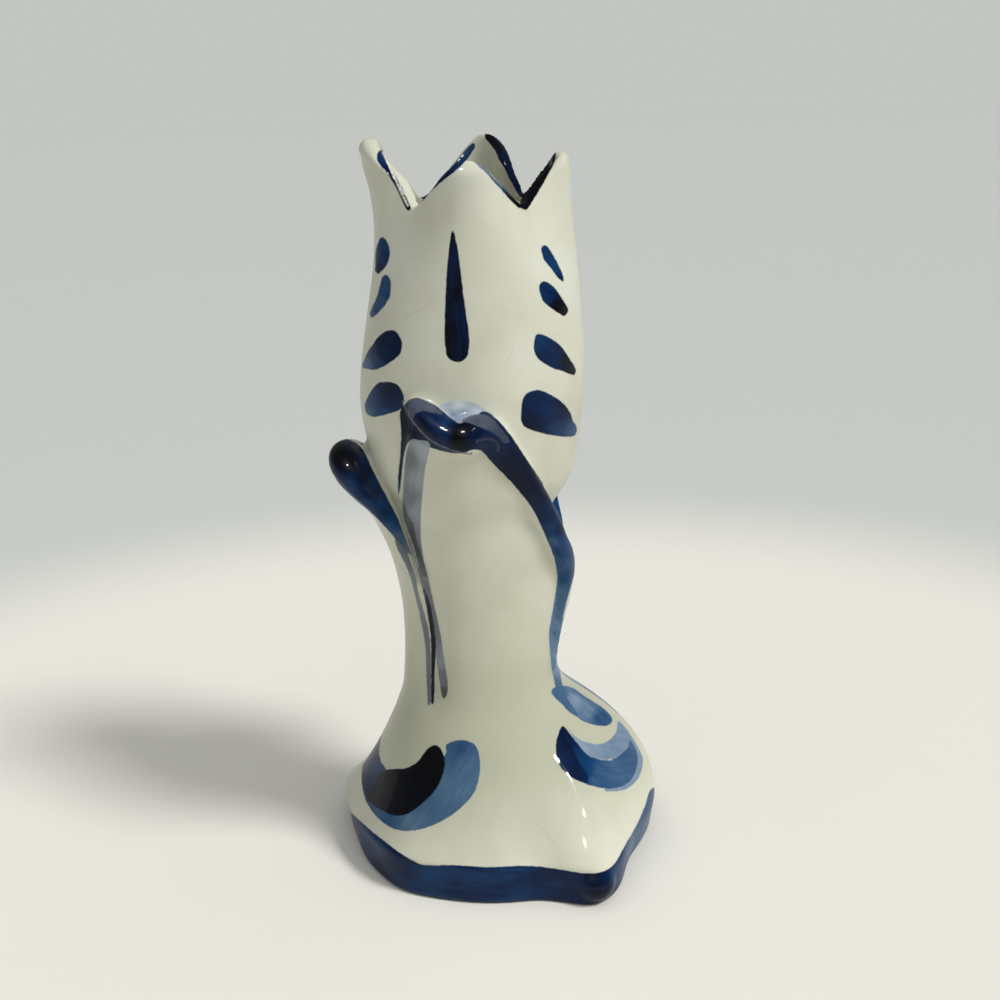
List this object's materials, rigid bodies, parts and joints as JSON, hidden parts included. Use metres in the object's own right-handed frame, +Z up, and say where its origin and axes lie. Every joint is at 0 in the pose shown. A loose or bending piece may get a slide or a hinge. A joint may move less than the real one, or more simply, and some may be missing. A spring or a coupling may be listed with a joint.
{
  "type": "bud vase",
  "caption": "glazed ceramic bud vase in the form of a tulip: four-petalled cup on a hollow stem wrapped by three leaves, on a flared foot with a blue band",
  "frame": {"origin": "centre of the box's bottom face, on the plane the foot ring rests on", "axes": "+Z up along the stem, front leaf towards -Y, left leaf towards -X"},
  "size_m": [0.0702, 0.0674, 0.1521],
  "materials": {
    "foot_glaze": "gloss",
    "stem_glaze": "gloss",
    "cup_glaze": "gloss",
    "leaf_glaze": "gloss"
  },
  "bodies": {
    "root": {"skirt_foot": "foot_glaze", "stem_tube": "stem_glaze", "tulip_cup": "cup_glaze", "front_leaf": "leaf_glaze", "left_leaf": "leaf_glaze", "back_leaf": "leaf_glaze"}
  },
  "joints": []
}
